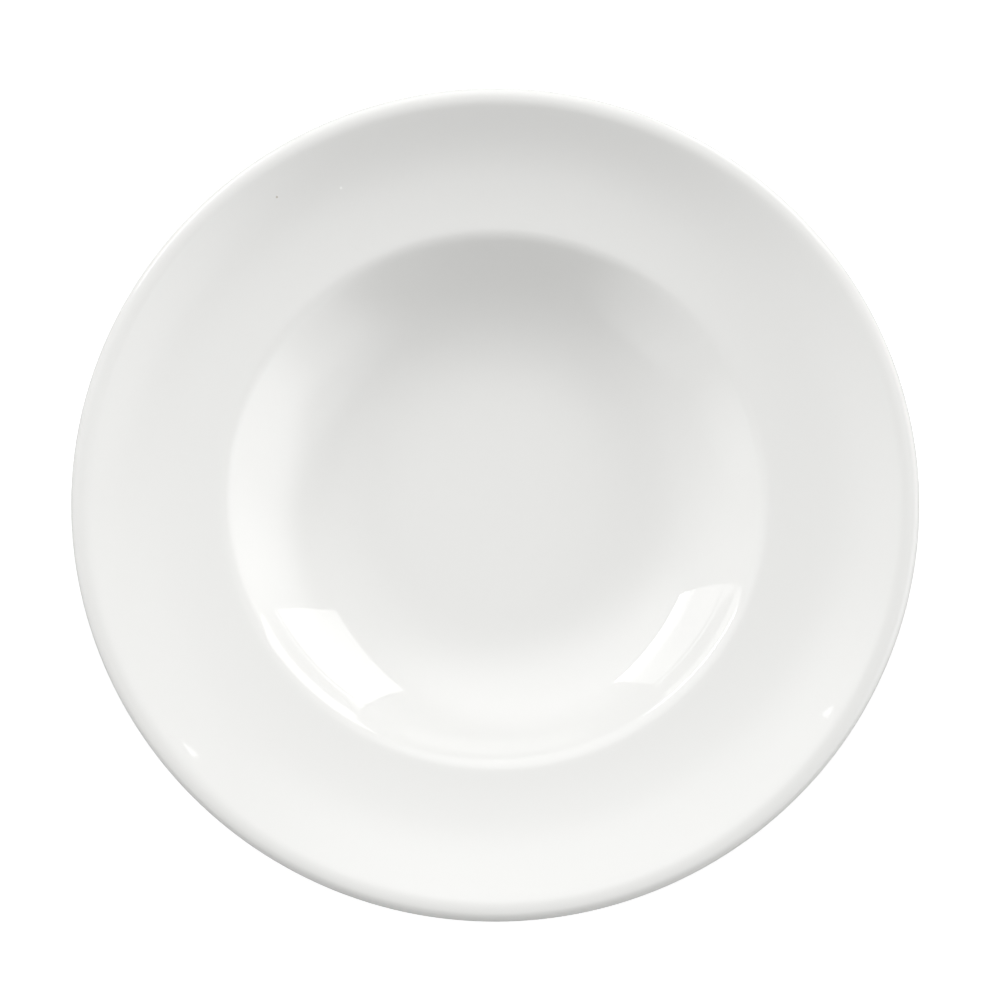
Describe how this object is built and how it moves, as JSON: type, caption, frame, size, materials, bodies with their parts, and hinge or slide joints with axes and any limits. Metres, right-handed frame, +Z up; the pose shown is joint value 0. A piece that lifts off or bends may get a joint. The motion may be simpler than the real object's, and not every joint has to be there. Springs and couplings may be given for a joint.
{
  "type": "pasta bowl",
  "caption": "Round porcelain pasta bowl with a curved well, a wide upswept rim, a rolled lip and a foot ring, glazed white all over but for its standing face.",
  "frame": {"origin": "centre of the bowl on the surface that it stands on", "axes": "+Z up along the bowl's axis of revolution, X and Y level and interchangeable"},
  "size_m": [0.3, 0.3, 0.0502],
  "materials": {
    "bare_porcelain": "fired and unglazed, matte",
    "clear_glaze_on_white": "smooth glossy white glaze",
    "recess_glaze_on_white": "glossy white glaze"
  },
  "bodies": {
    "root": {"porcelain_body": "bare_porcelain", "glaze_coat": "clear_glaze_on_white", "recess_glaze": "recess_glaze_on_white"}
  },
  "joints": []
}
